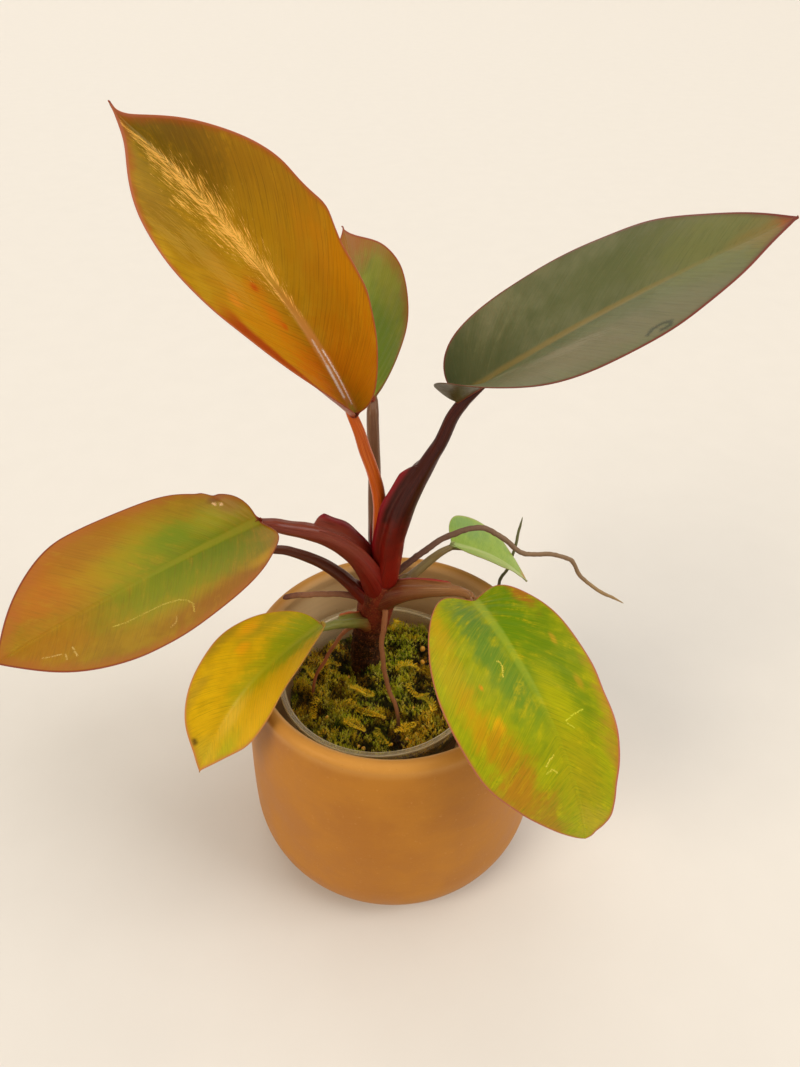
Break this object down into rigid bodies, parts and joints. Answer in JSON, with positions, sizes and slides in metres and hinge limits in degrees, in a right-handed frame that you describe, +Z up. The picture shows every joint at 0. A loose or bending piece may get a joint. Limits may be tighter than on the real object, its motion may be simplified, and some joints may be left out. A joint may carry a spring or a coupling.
{
  "type": "potted red congo philodendron",
  "caption": "Young red congo philodendron with glossy leaves on red petioles and aerial roots, in a clear nursery pot that stands in a round ceramic cover pot.",
  "frame": {"origin": "middle of the cover pot's flat foot, on the surface that the pot stands on", "axes": "+Z up, +X to the right and +Y away from a viewer who faces the plant's front"},
  "size_m": [0.2555, 0.2233, 0.3434],
  "materials": {
    "cover_glaze": "matte taupe",
    "clear_plastic": "clear",
    "potting_mix": "loose bark and soil",
    "moss": "soft tufts",
    "stem": "rough with leaf scars",
    "root": "dry matte",
    "petiole_crown_left": "smooth satin",
    "petiole_crown_right": "smooth satin",
    "petiole_crown_back": "smooth satin",
    "petiole_left": "smooth satin",
    "petiole_left_back": "smooth satin",
    "petiole_front_left": "smooth satin",
    "petiole_front_right": "smooth satin",
    "petiole_back_right": "smooth satin",
    "blade_crown_left": "glossy olive to bronze with a reddish edge",
    "blade_crown_right": "glossy dark olive",
    "blade_crown_back": "satin green with a red-brown edge",
    "blade_left": "satin green in the middle to orange-brown outside",
    "blade_left_back": "satin green",
    "blade_front_left": "satin golden yellow",
    "blade_front_right": "satin yellow-green with orange patches",
    "blade_back_right": "satin soft green"
  },
  "bodies": {
    "root": {"cover_pot": "cover_glaze", "nursery_pot": "clear_plastic", "potting_mix": "potting_mix", "moss_carpet": "moss", "stem": "stem", "petiole_crown_left": "petiole_crown_left", "petiole_crown_right": "petiole_crown_right", "petiole_crown_back": "petiole_crown_back", "petiole_left": "petiole_left", "petiole_left_back": "petiole_left_back", "petiole_front_left": "petiole_front_left", "petiole_front_right": "petiole_front_right", "petiole_back_right": "petiole_back_right", "blade_crown_left": "blade_crown_left", "blade_crown_right": "blade_crown_right", "blade_crown_back": "blade_crown_back", "blade_left": "blade_left", "blade_left_back": "blade_left_back", "blade_front_left": "blade_front_left", "blade_front_right": "blade_front_right", "blade_back_right": "blade_back_right", "root_long_right": "root", "root_back_right": "root", "root_short_left": "root", "root_front": "root", "root_front_left": "root"}
  },
  "joints": []
}
